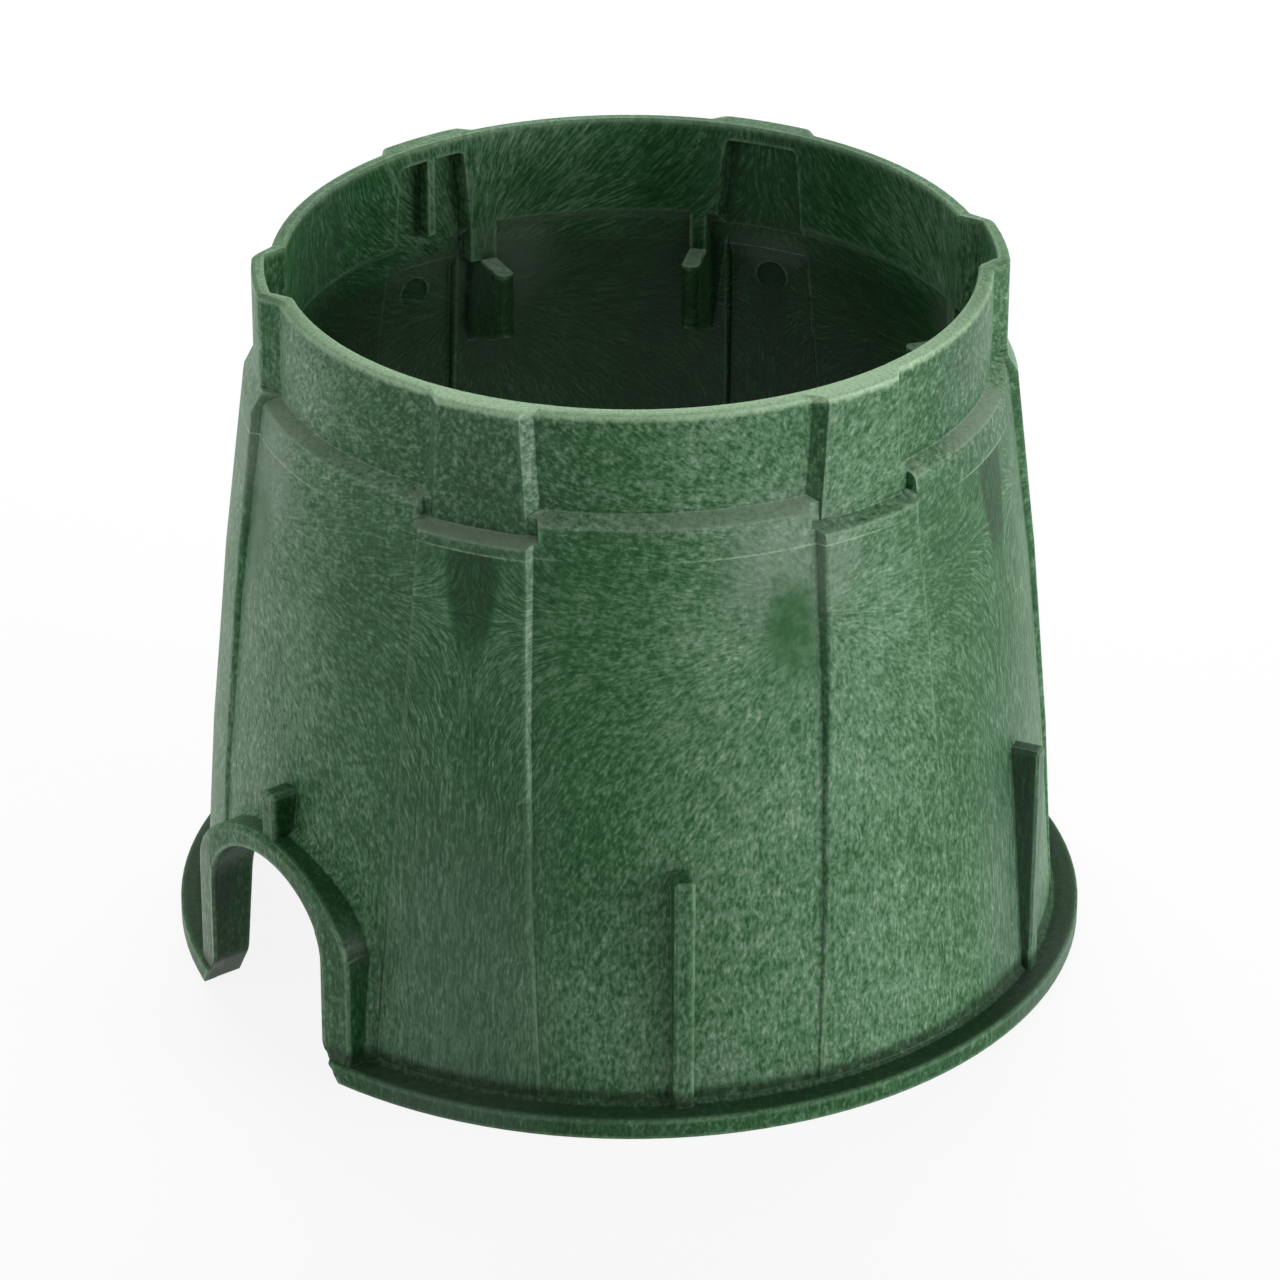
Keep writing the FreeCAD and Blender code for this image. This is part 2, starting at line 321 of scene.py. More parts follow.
@dataclass(frozen=True)
class FlowMarks:
    """Streaks that foamed plastic leaves as it flows out from the gates of its mould.

    Lengths are in millimetres and angles in degrees. The streaks run away from the gates and turn
    along the weld lines where two flows meet.
    """

    gate_angles: tuple[float, ...] = (80.1, 161.1, 260.1, 341.1)
    gate_height: float = 186.0
    gate_radius: float = 136.0
    gate_pull: float = 1000.0
    gate_softness: float = 20.0
    collar_spread: Step = Step(200.0, 222.0, 1.0, 0.35)
    patch_angles: tuple[float, ...] = (76.6, 163.6, 256.6, 343.6)
    patch_drop: float = 8.0
    patch_squash: tuple[float, float, float] = (1.0, 1.0, 0.5)
    patch_edge: Step = Step(15.0, 5.0)
    patch_fringe: Grain = Grain(0.15, 2.0, 0.6)
    patch_fray: float = 10.0
    halo_rise: float = 17.0
    halo_edge: Step = Step(34.0, 10.0)
    plume_edge: Step = Step(0.88, 0.9985)
    weld_angles: tuple[float, ...] = (30.6, 120.6, 210.6, 300.6)
    turn_radius: float = 138.0
    leans: tuple[float, ...] = (-67.5, -45.0, -22.5, 0.0, 22.5, 45.0, 67.5, LEVEL)
    focus: float = 10.0
    wave: float = 1.6
    wave_scale: float = 0.11
    streak_grain: Grain = Grain(1.0, 2.0, 0.55)
    streak_gain: float = 3.0

    def gate(self, angle: float, drop: float = 0.0) -> tuple[float, float, float]:
        """Gives the place at or below a gate, at an angle."""
        turn = math.radians(angle)
        return self.gate_radius * math.cos(turn), self.gate_radius * math.sin(turn), self.gate_height - drop

    def direction(self, sheet: NodeSheet, spot: Spot) -> tuple[Socket, Socket]:
        """Works out the direction of flow on the wall, from one source at each gate.

        Args:
            sheet: The material's nodes.
            spot: The point.

        Returns:
            The unit flow's part along the tangent and its part up the axis.
        """
        flow: Socket | None = None
        for angle in self.gate_angles:
            away = sheet.vector("SUBTRACT", spot.place, self.gate(angle))
            near = sheet.vector("DOT_PRODUCT", away, away)
            pull = sheet.math("DIVIDE", self.gate_pull, sheet.math("ADD", near, self.gate_softness))
            part = sheet.vector("SCALE", away, scale=pull)
            flow = part if flow is None else sheet.vector("ADD", flow, part)
        across = sheet.vector("DOT_PRODUCT", flow, spot.along)
        up = sheet.product(sheet.split(flow)[2], sheet.ease(spot.height, self.collar_spread))
        size = sheet.math("SQRT", sheet.total(sheet.product(across, across), sheet.product(up, up), TINY))
        return sheet.math("DIVIDE", across, size), sheet.math("DIVIDE", up, size)

    def layers(self, sheet: NodeSheet, spot: Spot) -> list[Lean]:
        """Makes a layer for each way that streaks can lean, a little wavy.

        Args:
            sheet: The material's nodes.
            spot: The point.

        Returns:
            The layers.
        """
        across, up = self.direction(sheet, spot)
        sway = sheet.add("ShaderNodeTexNoise")
        sheet.feed(sway.inputs["Vector"], spot.place)
        sway.inputs["Scale"].default_value = self.wave_scale
        sway.inputs["Detail"].default_value = 1.0
        shift = sheet.vector("SUBTRACT", sway.outputs["Color"], (0.5, 0.5, 0.5))
        shift = sheet.vector("SCALE", shift, scale=2.0 * self.wave)
        wavy = sheet.vector("ADD", spot.place, shift)
        made: list[Lean] = []
        for lean in self.leans:
            turn = math.radians(lean)
            place = wavy
            if lean != LEVEL:
                twist = sheet.add("ShaderNodeVectorRotate", rotation_type="Z_AXIS")
                sheet.feed(twist.inputs["Vector"], wavy)
                angle = sheet.product(spot.height, -math.tan(turn) / self.turn_radius)
                sheet.feed(twist.inputs["Angle"], angle)
                place = twist.outputs[0]
            match = sheet.math("MULTIPLY_ADD", across, math.sin(turn), sheet.product(up, math.cos(turn)))
            made.append(Lean(lean, place, sheet.math("POWER", sheet.product(match, match), self.focus)))
        return made

    def streaks(self, sheet: NodeSheet, layers: list[Lean], length: float, width: float) -> Socket:
        """Makes streaks that lie along the flow, from layers of stretched noise that each lean one way.

        Args:
            sheet: The material's nodes.
            layers: What layers() made.
            length: Length of a streak.
            width: Width of a streak.

        Returns:
            A number around 0, about from -1 to 1.
        """
        parts: list[Socket] = []
        powers: list[Socket] = []
        for layer in layers:
            stretch = (1.0 / length, 1.0 / length, 1.0 / width)
            if layer.turn != LEVEL:
                slant = math.cos(math.radians(layer.turn))
                stretch = (slant / width, slant / width, 1.0 / (length * slant))
            grain = sheet.centred(sheet.noise(sheet.scaled(layer.place, stretch), self.streak_grain), 1.0)
            parts.append(sheet.product(grain, layer.weight))
            powers.append(sheet.product(layer.weight, layer.weight))
        strength = sheet.math("SQRT", sheet.total(*powers, TINY))
        return sheet.product(sheet.math("DIVIDE", sheet.total(*parts), strength), self.streak_gain)

    def gate_patch(self, sheet: NodeSheet, spot: Spot) -> Socket:
        """Finds the smooth patch at each gate, where the plastic came in.

        Args:
            sheet: The material's nodes.
            spot: The point.

        Returns:
            1 in the patches, and 0 away from them.
        """
        nearest: Socket | None = None
        for angle in self.patch_angles:
            away = sheet.vector("SUBTRACT", spot.place, self.gate(angle, self.patch_drop))
            gap = sheet.vector("LENGTH", sheet.scaled(away, self.patch_squash))
            nearest = gap if nearest is None else sheet.math("MINIMUM", nearest, gap)
        fray = sheet.centred(sheet.noise(spot.place, self.patch_fringe), self.patch_fray)
        return sheet.ease(sheet.math("ADD", nearest, fray), self.patch_edge)

    def halo(self, sheet: NodeSheet, spot: Spot) -> Socket:
        """Finds the pale haze above each gate, which is partly paler plastic and partly painted sheen.

        Args:
            sheet: The material's nodes.
            spot: The point.

        Returns:
            1 close above a gate, and 0 away from it.
        """
        parts: list[Socket] = []
        for angle in self.patch_angles:
            away = sheet.vector("SUBTRACT", spot.place, self.gate(angle, -self.halo_rise))
            parts.append(sheet.ease(sheet.vector("LENGTH", away), self.halo_edge))
        return sheet.total(*parts)

    def plume(self, sheet: NodeSheet, spot: Spot) -> Socket:
        """Gives 1 above and below each gate, where the plastic is paler and a painted sheen is added, and 0 away from
        it.
        """
        return sheet.total(*(sheet.ease(spot.facing(sheet, angle), self.plume_edge) for angle in self.patch_angles))

    def weld(self, sheet: NodeSheet, spot: Spot, reach: float) -> Socket:
        """Gives 1 on the weld lines halfway between the gates, and 0 past a reach in degrees."""
        edge = Step(math.cos(math.radians(reach)), 1.0)
        return sheet.total(*(sheet.ease(spot.facing(sheet, angle), edge) for angle in self.weld_angles))


@dataclass(frozen=True)
class Landmarks:
    """Places on the moulding that its finish goes by. Lengths are in millimetres."""

    flange_top: float = 8.0
    witness: float = 208.6
    rim_top: float = 258.6
    wall_foot: float = 156.04
    wall_slope: float = -0.1047
    below_witness: Step = Step(witness + 0.4, witness - 0.4)
    above_flange: Step = Step(flange_top - 0.5, flange_top + 0.5)
    stands_out: Step = Step(3.6, 5.0)
    below_bands: Step = Step(110.0, 100.0)
    looks_up: Step = Step(0.15, 0.7)
    above_arches: Step = Step(110.0, 140.0)
    below_rim: Step = Step(252.0, 240.0)

    def raised(self, sheet: NodeSheet, spot: Spot) -> Socket:
        """Finds the ribs and the lips of the arches, which stand out from the lower wall.

        Args:
            sheet: The material's nodes.
            spot: The point.

        Returns:
            1 on them, and 0 elsewhere.
        """
        wall = sheet.math("MULTIPLY_ADD", spot.height, self.wall_slope, self.wall_foot)
        out = sheet.ease(sheet.math("SUBTRACT", spot.radius, wall), self.stands_out)
        return sheet.product(
            out, sheet.ease(spot.height, self.above_flange), sheet.ease(spot.height, self.below_bands)
        )

    def ledge(self, sheet: NodeSheet, spot: Spot) -> Socket:
        """Gives 1 on the faces between the arches and the rim that look up, and 0 elsewhere."""
        between = sheet.product(sheet.ease(spot.height, self.above_arches), sheet.ease(spot.height, self.below_rim))
        return sheet.product(sheet.ease(spot.upward, self.looks_up), between)


@dataclass(frozen=True)
class Marks:
    """Streaks, grains and masks that the finish shares, as sockets."""

    dashes: Socket
    hairs: Socket
    speckle: Socket
    ragged: Socket
    flecks: Socket
    smooth: Socket
    plume: Socket
    raised: Socket
    ledge: Socket


@dataclass(frozen=True)
class Amount:
    """Strength of one kind of mark, and what is added to it high on the wall, by the welds and inside."""

    plain: float
    high: float = 0.0
    weld: float = 0.0
    inside: float = 0.0

    def at(self, sheet: NodeSheet, high: Socket, weld: Socket, inside: Socket) -> Socket:
        """Works out the strength from masks of those three places."""
        shares = ((high, self.high), (weld, self.weld), (inside, self.inside))
        return sheet.total(self.plain, *(sheet.product(mask, share) for mask, share in shares if share))


@dataclass(frozen=True)
class PlasticTone:
    """How pale the clean plastic is, with its painted light and shade, from 0 to 1. Heights are in millimetres, and
    reaches in degrees.
    """

    flow: FlowMarks = FlowMarks()
    land: Landmarks = Landmarks()
    plain: float = 0.41
    # paler plastic in line with each gate, partly a painted sheen
    plume: float = 0.20
    smooth: float = -0.15
    clouds: Grain = Grain(0.03, 3.0, 0.6)
    cloud_gain: float = 0.34
    blotches: Grain = Grain(0.2, 2.0, 0.6)
    blotch_amount: Amount = Amount(0.40, weld=-0.26, inside=-0.22)
    dash_amount: Amount = Amount(0.38, high=-0.13, weld=-0.20, inside=-0.10)
    hair_amount: Amount = Amount(0.09, weld=0.36, inside=0.30)
    speckle_amount: Amount = Amount(0.17, high=0.13, weld=-0.09, inside=-0.20)
    smooth_streaks: float = -0.9
    high: Step = Step(95.0, 190.0)
    inside: Step = Step(-0.2, -0.6)
    # painted shade inside the box, darker deeper down
    inside_painted_shade: Step = Step(222.0, 205.0, -0.09, -0.32)
    weld_reach: float = 17.0
    weld_top: Step = Step(214.0, 202.0)
    collar: Step = Step(206.0, 220.0)
    collar_grain: float = 0.25
    collar_weld_grain: float = 0.6
    # painted light and shade on the sides of the bands and pads
    flank_reach: float = 19.0
    flank_turned: Step = Step(0.94, 0.7)
    flank_outside: Step = Step(0.0, 0.2)
    flank_height: Step = Step(100.0, 130.0)
    flank_shade_by_gates: float = -0.24
    flank_light_by_welds: Step = Step(0.0, 0.3, -0.12, 0.34)
    foot: Step = Step(110.0, 20.0, 0.0, 0.13)
    foot_plume: Step = Step(120.0, 30.0, 0.0, -0.12)
    wedge_reach: float = 4.6
    wedge_taper: Step = Step(205.0, 162.0, 0.1, -0.95)
    wedge_fray: float = 0.3
    wedge_tone: Step = Step(0.0, 0.6, 0.0, -0.32)
    # painted shade on the flange, which the box hides from the back light
    flange_painted_shade: Step = Step(Landmarks.flange_top + 0.6, Landmarks.flange_top - 0.6, 0.0, -0.26)
    # painted shadow on the low side-facing faces: the jambs of the arches and the sides of the ribs
    askew: Step = Step(0.65, 0.3)
    low_side_painted_shadow: Step = Step(112.0, 92.0, 0.0, -0.26)
    arch_angle: float = 0.0
    lip_to_rib_tone: Step = Step(0.97, 0.93, -0.15, -0.09)
    # painted top light on the faces that look up
    ledge_painted_light: float = 0.26

    def level(self, sheet: NodeSheet, spot: Spot, marks: Marks) -> Socket:
        """Adds up what makes the plastic paler or darker, painted light and shade among it.

        Args:
            sheet: The material's nodes.
            spot: The point.
            marks: The shared marks.

        Returns:
            The tone, from 0 for the darkest to 1 for the palest.
        """
        weld = sheet.product(self.flow.weld(sheet, spot, self.weld_reach), sheet.ease(spot.height, self.weld_top))
        masks = (sheet.ease(spot.height, self.high), weld, sheet.ease(spot.turned, self.inside))
        welded = self.flow.weld(sheet, spot, self.flank_reach)
        clouds = sheet.centred(sheet.noise(spot.place, self.clouds), self.cloud_gain)
        blotches = sheet.centred(sheet.noise(spot.place, self.blotches), 1.0)
        collar = sheet.math("MULTIPLY_ADD", welded, self.collar_weld_grain, self.collar_grain)
        collar = sheet.math("MULTIPLY_ADD", sheet.ease(spot.height, self.collar), collar, 1.0)
        streaks = sheet.total(
            sheet.product(marks.dashes, self.dash_amount.at(sheet, *masks)),
            sheet.product(marks.hairs, self.hair_amount.at(sheet, *masks)),
            sheet.product(marks.speckle, self.speckle_amount.at(sheet, *masks), collar),
        )
        return sheet.total(
            self.plain,
            sheet.product(streaks, sheet.math("MULTIPLY_ADD", marks.smooth, self.smooth_streaks, 1.0)),
            clouds,
            sheet.product(blotches, self.blotch_amount.at(sheet, *masks)),
            sheet.product(marks.plume, self.plume),
            self.flank_light_and_shade(sheet, spot, welded, marks.plume),
            sheet.ease(spot.height, self.foot),
            sheet.product(marks.plume, sheet.ease(spot.height, self.foot_plume)),
            self.wedges(sheet, spot, marks.hairs),
            sheet.product(marks.smooth, self.smooth),
            self.painted_light_and_shade(sheet, spot, marks),
        )

    def flank_light_and_shade(self, sheet: NodeSheet, spot: Spot, welded: Socket, plume: Socket) -> Socket:
        """Paints shade on the sides of the bands and pads by the gates, and a painted highlight on one side of those by
        the welds.

        Args:
            sheet: The material's nodes.
            spot: The point.
            welded: 1 by the welds.
            plume: 1 in line with a gate.

        Returns:
            What is added to the tone.
        """
        # painted shade on the sides by the gates, and painted light on the sides that turn one way
        flank = sheet.product(
            sheet.ease(spot.turned, self.flank_turned),
            sheet.ease(spot.turned, self.flank_outside),
            sheet.ease(spot.height, self.flank_height),
        )
        side_light = sheet.product(welded, sheet.ease(spot.lee, self.flank_light_by_welds))
        return sheet.product(flank, sheet.math("MULTIPLY_ADD", plume, self.flank_shade_by_gates, side_light))

    def wedges(self, sheet: NodeSheet, spot: Spot, hairs: Socket) -> Socket:
        """Darkens a wedge at the top of each weld line, under the collar.

        Args:
            sheet: The material's nodes.
            spot: The point.
            hairs: Long fine streaks.

        Returns:
            What is added to the tone.
        """
        wedge = sheet.total(
            self.flow.weld(sheet, spot, self.wedge_reach),
            sheet.ease(spot.height, self.wedge_taper),
            sheet.product(hairs, self.wedge_fray),
        )
        return sheet.product(sheet.ease(wedge, self.wedge_tone), sheet.ease(spot.height, self.land.below_witness))

    def painted_light_and_shade(self, sheet: NodeSheet, spot: Spot, marks: Marks) -> Socket:
        """Paints shade on the flange, the low flanks and the inside, darkens the ribs and the lips, and paints top
        light on the ledges.

        Args:
            sheet: The material's nodes.
            spot: The point.
            marks: The shared marks.

        Returns:
            What is added to the tone.
        """
        askew = sheet.ease(sheet.math("ABSOLUTE", spot.turned), self.askew)
        by_arch = sheet.math("ABSOLUTE", spot.facing(sheet, self.arch_angle))
        return sheet.total(
            sheet.ease(spot.height, self.flange_painted_shade),
            sheet.product(askew, sheet.ease(spot.height, self.low_side_painted_shadow)),
            sheet.product(sheet.ease(spot.turned, self.inside), sheet.ease(spot.height, self.inside_painted_shade)),
            sheet.product(marks.raised, sheet.ease(by_arch, self.lip_to_rib_tone)),
            sheet.product(marks.ledge, self.ledge_painted_light),
        )


@dataclass(frozen=True)
class PlasticWear:
    """Haze, dust and scuffs on the plastic, with painted sheen, highlights and shade. Heights are in millimetres, and
    angles in degrees.
    """

    flow: FlowMarks = FlowMarks()
    # painted shade: dark in the inner corners and at the foot of the wall
    painted_shade_colour: Colour = (0.006, 0.020, 0.007)
    dust: Colour = (0.200, 0.275, 0.190)
    # pale edges: partly scuffs, partly a painted highlight
    crest_scuff_and_highlight: Colour = (0.210, 0.350, 0.220)
    # pale colour of the witness line, and of the painted sheen on the rim
    pale_mark_and_rim_sheen: Colour = (0.375, 0.560, 0.350)
    bloom: Colour = (0.090, 0.135, 0.110)
    # pale haze above the gates: partly paler plastic, partly painted sheen
    haze_and_sheen: Colour = (0.230, 0.300, 0.236)
    weld_reach: float = 15.0
    halo_share: float = 0.4
    shoulder: Step = Step(215.0, 218.0)
    shoulder_dust: float = 0.45
    weld_dust: float = 0.75
    fleck_dust: Step = Step(0.38, 0.62, -0.04, 0.30)
    clean_by_gates: float = -1.4
    inside: Step = Step(0.1, -0.3)
    corner_reach: float = 0.0010
    inner_corner_reach: float = 0.0025
    corner: Step = Step(0.03, 0.25)
    corner_share: Step = Step(0.2, 0.6, 0.3, 0.75)
    edge_reach: float = 0.0020
    edge: Step = Step(0.04, 0.26)
    edge_share: Step = Step(0.36, 0.62, 0.35, 0.85)
    # the painted edge highlight is stronger on the side that turns one way
    edge_highlight_side: Step = Step(-0.25, 0.1, 0.3, 1.0)
    bloom_share: float = 0.36
    low_bloom: Step = Step(150.0, 60.0)
    collar_bloom: Step = Step(200.0, 215.0, 0.0, 0.4)
    # painted sheen on the rim, strongest on the side toward the camera, for the backdrop's reflection
    rim_fray: float = 3.0
    rim_sheen: Step = Step(Landmarks.rim_top - 0.6, Landmarks.rim_top + 1.9)
    rim_sheen_angle: float = 235.0
    rim_sheen_front: Step = Step(0.0, 0.9, 0.15, 1.0)
    rim_flecks: Step = Step(0.3, 0.62, 0.6, 1.0)
    line: Step = Step(0.45, 0.15)
    line_outside: Step = Step(129.0, 131.0)
    line_weld: float = 0.8
    line_least: float = -0.12
    line_share: Step = Step(0.3, 0.65, 0.2, 0.7)
    # painted shade along the foot of the wall, just above the flange
    foot_shade_top: Step = Step(Landmarks.flange_top + 7.5, Landmarks.flange_top + 3.5)
    foot_shade_low: Step = Step(Landmarks.flange_top - 1.0, Landmarks.flange_top + 0.3)
    foot_shade_share: Step = Step(0.25, 0.65, 0.5, 0.85)

    def colour(self, sheet: NodeSheet, spot: Spot, clean: Socket, marks: Marks) -> Socket:
        """Adds the marks of use on the plastic, and its painted sheen, highlights and shade.

        Args:
            sheet: The material's nodes.
            spot: The point.
            clean: The colour of the clean plastic.
            marks: The shared marks.

        Returns:
            The colour of the used plastic.
        """
        weld = self.flow.weld(sheet, spot, self.weld_reach)
        result = self.dust_and_painted_light(sheet, spot, clean, marks, weld)
        result = self.rubbed_and_sheen(sheet, spot, result, marks, weld)
        return self.lined(sheet, spot, result, marks, weld)

    def dust_and_painted_light(self, sheet: NodeSheet, spot: Spot, colour: Socket, marks: Marks, weld: Socket) -> Socket:
        """Adds a pale haze above the gates, partly painted sheen, dust on the ledges and painted shade in the corners.

        Args:
            sheet: The material's nodes.
            spot: The point.
            colour: The colour so far.
            marks: The shared marks.
            weld: 1 by the welds.

        Returns:
            The new colour.
        """
        halo = sheet.product(self.flow.halo(sheet, spot), sheet.math("SUBTRACT", 1.0, marks.smooth))
        shoulder = sheet.ease(spot.height, self.shoulder)
        settled = sheet.total(
            sheet.product(marks.plume, shoulder, self.shoulder_dust),
            sheet.product(weld, self.weld_dust),
            sheet.ease(marks.flecks, self.fleck_dust),
        )
        off_gates = sheet.math("MULTIPLY_ADD", marks.plume, self.clean_by_gates, 1.0)
        settled = sheet.product(settled, sheet.math("MAXIMUM", shoulder, off_gates))
        inside = sheet.ease(spot.turned, self.inside)
        reach = sheet.math("MULTIPLY_ADD", inside, self.inner_corner_reach, self.corner_reach)
        # painted shade in the inner corners, reaching further inside the box
        corner_shade = sheet.product(
            sheet.ease(self.hollow(sheet, reach, False), self.corner),
            sheet.ease(marks.ragged, self.corner_share),
            sheet.math("SUBTRACT", 1.0, marks.ledge),
        )
        result = sheet.blend(sheet.product(halo, self.halo_share), colour, self.haze_and_sheen)
        result = sheet.blend(sheet.product(marks.ledge, settled), result, self.dust)
        return sheet.blend(corner_shade, result, self.painted_shade_colour)

    def rubbed_and_sheen(self, sheet: NodeSheet, spot: Spot, colour: Socket, marks: Marks, weld: Socket) -> Socket:
        """Adds scuffed edges with a painted highlight on the side that turns one way, a dull bloom along the welds and
        a painted sheen on the rim.

        Args:
            sheet: The material's nodes.
            spot: The point.
            colour: The colour so far.
            marks: The shared marks.
            weld: 1 by the welds.

        Returns:
            The new colour.
        """
        # scuffs on the edges, with a painted highlight, stronger on one side
        scuff_and_edge_highlight = sheet.product(
            sheet.ease(self.hollow(sheet, self.edge_reach, True), self.edge),
            sheet.ease(marks.ragged, self.edge_share),
            sheet.ease(spot.lee, self.edge_highlight_side),
        )
        dull = sheet.math(
            "MAXIMUM", sheet.ease(spot.height, self.low_bloom), sheet.ease(spot.height, self.collar_bloom)
        )
        # painted sheen on the rim top toward the camera, broken by flecks
        rim_sheen = sheet.product(
            sheet.ease(sheet.math("MULTIPLY_ADD", marks.ragged, self.rim_fray, spot.height), self.rim_sheen),
            sheet.ease(spot.facing(sheet, self.rim_sheen_angle), self.rim_sheen_front),
            sheet.ease(marks.flecks, self.rim_flecks),
        )
        result = sheet.blend(scuff_and_edge_highlight, colour, self.crest_scuff_and_highlight)
        result = sheet.blend(sheet.product(weld, dull, self.bloom_share), result, self.bloom)
        return sheet.blend(rim_sheen, result, self.pale_mark_and_rim_sheen)

    def lined(self, sheet: NodeSheet, spot: Spot, colour: Socket, marks: Marks, weld: Socket) -> Socket:
        """Adds the pale witness line under the collar and a band of painted shade at the foot of the wall, just above
        the flange.

        Args:
            sheet: The material's nodes.
            spot: The point.
            colour: The colour so far.
            marks: The shared marks.
            weld: 1 by the welds.

        Returns:
            The new colour.
        """
        gap = sheet.math("ABSOLUTE", sheet.math("SUBTRACT", spot.height, Landmarks.witness))
        clear = sheet.total(
            sheet.product(marks.plume, marks.plume), sheet.product(weld, self.line_weld), self.line_least
        )
        line = sheet.product(
            sheet.ease(gap, self.line),
            sheet.ease(spot.radius, self.line_outside),
            clear,
            sheet.ease(marks.ragged, self.line_share),
        )
        # painted shade band at the foot of the wall
        foot_shade = sheet.product(
            sheet.ease(spot.height, self.foot_shade_top),
            sheet.ease(spot.height, self.foot_shade_low),
            sheet.ease(marks.ragged, self.foot_shade_share),
        )
        return sheet.blend(foot_shade, sheet.blend(line, colour, self.pale_mark_and_rim_sheen), self.painted_shade_colour)

    @staticmethod
    def hollow(sheet: NodeSheet, reach: Number, inside: bool) -> Socket:
        """Finds corners or edges by how much of the moulding lies close by.

        Args:
            sheet: The material's nodes.
            reach: How far to look, in metres.
            inside: Look into the plastic, which finds outer edges instead of inner corners.

        Returns:
            0 on flat places, and towards 1 in a corner or on an edge.
        """
        node = sheet.add("ShaderNodeAmbientOcclusion", samples=4, inside=inside, only_local=True)
        sheet.feed(node.inputs["Distance"], reach)
        return sheet.math("SUBTRACT", 1.0, node.outputs["AO"])


@dataclass(frozen=True)
class GreenPlastic:
    """Streaky satin green plastic of the box, foamed in the mould, with scuffed edges, dusty ledges and painted shade
    in its corners.
    """

    name: str = "green_foam_plastic_streaks"
    flow: FlowMarks = FlowMarks()
    land: Landmarks = Landmarks()
    tone: PlasticTone = PlasticTone()
    wear: PlasticWear = PlasticWear()
    darkest: Colour = (0.004, 0.032, 0.007)
    dark: Colour = (0.011, 0.060, 0.017)
    middle: Colour = (0.026, 0.105, 0.034)
    pale: Colour = (0.125, 0.240, 0.136)
    palest: Colour = (0.300, 0.410, 0.310)
    stops: tuple[float, float, float] = (0.20, 0.40, 0.72)
    dash_size: tuple[float, float] = (3.1, 1.2)
    hair_size: tuple[float, float] = (15.0, 0.8)
    speckle: Grain = Grain(0.5, 3.0, 0.65)
    speckle_gain: float = 3.0
    ragged: Grain = Grain(0.35, 3.0, 0.65)
    flecks: Grain = Grain(0.8, 2.0, 0.7)
    specular: float = 0.2
    roughness: float = 0.45
    speckle_roughness: float = 0.07
    smooth_roughness: float = -0.08
    raised_roughness: float = -0.12
    upward_roughness: Step = Step(0.3, 0.8, 0.0, 0.4)
    witness_relief: Step = Step(Landmarks.witness - 0.25, Landmarks.witness + 0.25, 0.0, 1.2)
    relief_strength: float = 0.3
    relief_depth: float = 0.0002

    def material(self) -> bpy.types.Material:
        """Makes the material.

        Returns:
            The finished material.
        """
        made = bpy.data.materials.new(self.name)
        made.use_nodes = True
        sheet = NodeSheet(made.node_tree)
        spot = Spot.read(sheet)
        marks = self.marks(sheet, spot)
        clean = self.ramp(sheet, self.tone.level(sheet, spot, marks))
        skin = sheet.add("ShaderNodeBsdfPrincipled")
        sheet.feed(skin.inputs["Base Color"], self.wear.colour(sheet, spot, clean, marks))
        rough = sheet.total(
            self.roughness,
            sheet.product(marks.speckle, self.speckle_roughness),
            sheet.product(marks.smooth, self.smooth_roughness),
            sheet.product(marks.raised, self.raised_roughness),
            sheet.ease(spot.upward, self.upward_roughness),
        )
        sheet.feed(skin.inputs["Roughness"], rough)
        skin.inputs["Specular IOR Level"].default_value = self.specular
        sheet.feed(skin.inputs["Normal"], self.relief(sheet, spot, marks.speckle))
        out = sheet.add("ShaderNodeOutputMaterial")
        sheet.feed(out.inputs["Surface"], skin.outputs[0])
        return made

    def marks(self, sheet: NodeSheet, spot: Spot) -> Marks:
        """Makes the streaks, grains and masks that the finish shares.

        Args:
            sheet: The material's nodes.
            spot: The point.

        Returns:
            The shared marks.
        """
        layers = self.flow.layers(sheet, spot)
        return Marks(
            dashes=self.flow.streaks(sheet, layers, *self.dash_size),
            hairs=self.flow.streaks(sheet, layers, *self.hair_size),
            speckle=sheet.centred(sheet.noise(spot.place, self.speckle), self.speckle_gain),
            ragged=sheet.noise(spot.place, self.ragged),
            flecks=sheet.noise(spot.place, self.flecks),
            smooth=self.flow.gate_patch(sheet, spot),
            plume=self.flow.plume(sheet, spot),
            raised=self.land.raised(sheet, spot),
            ledge=self.land.ledge(sheet, spot),
        )

    def ramp(self, sheet: NodeSheet, level: Socket) -> Socket:
        """Turns a tone into a colour.

        Args:
            sheet: The material's nodes.
            level: The tone.

        Returns:
            The colour.
        """
        node = sheet.add("ShaderNodeValToRGB")
        sheet.feed(node.inputs[0], level)
        ends = node.color_ramp.elements
        ends[0].color, ends[1].color = (*self.darkest, 1.0), (*self.palest, 1.0)
        for place, colour in zip(self.stops, (self.dark, self.middle, self.pale)):
            ends.new(place).color = (*colour, 1.0)
        return node.outputs[0]

    def relief(self, sheet: NodeSheet, spot: Spot, speckle: Socket) -> Socket:
        """Makes the fine relief of the skin, and the witness line that the mould leaves under the collar.

        Args:
            sheet: The material's nodes.
            spot: The point.
            speckle: Grain with no direction.

        Returns:
            The normal.
        """
        bump = sheet.add("ShaderNodeBump")
        bump.inputs["Strength"].default_value = self.relief_strength
        bump.inputs["Distance"].default_value = self.relief_depth
        step = sheet.ease(spot.height, self.witness_relief)
        sheet.feed(bump.inputs["Height"], sheet.math("ADD", speckle, step))
        return bump.outputs[0]


